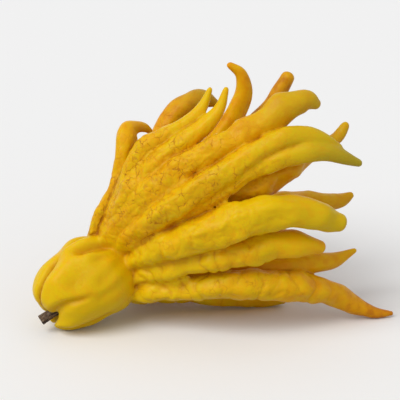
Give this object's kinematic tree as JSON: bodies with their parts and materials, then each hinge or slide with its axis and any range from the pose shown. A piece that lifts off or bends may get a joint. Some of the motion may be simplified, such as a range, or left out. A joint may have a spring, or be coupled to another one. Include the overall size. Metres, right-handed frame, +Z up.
{
  "type": "buddhas hand citron",
  "caption": "Fingered citron lying on its side: a lobed solid end with a cut stem stub, which splits into long tapering fingers fanned up and out.",
  "frame": {"origin": "on the table under the middle of the fruit's bounding box", "axes": "+Z up, +X from the stem end towards the finger tips, -Y towards the side with the largest fingers"},
  "size_m": [0.2381, 0.1571, 0.1629],
  "materials": {
    "rind": "waxy yellow citrus rind, semi-matt, finely pored",
    "stem_bark": "dry brown bark, matt"
  },
  "bodies": {
    "root": {"fruit": "rind", "stem": "stem_bark"}
  },
  "joints": []
}
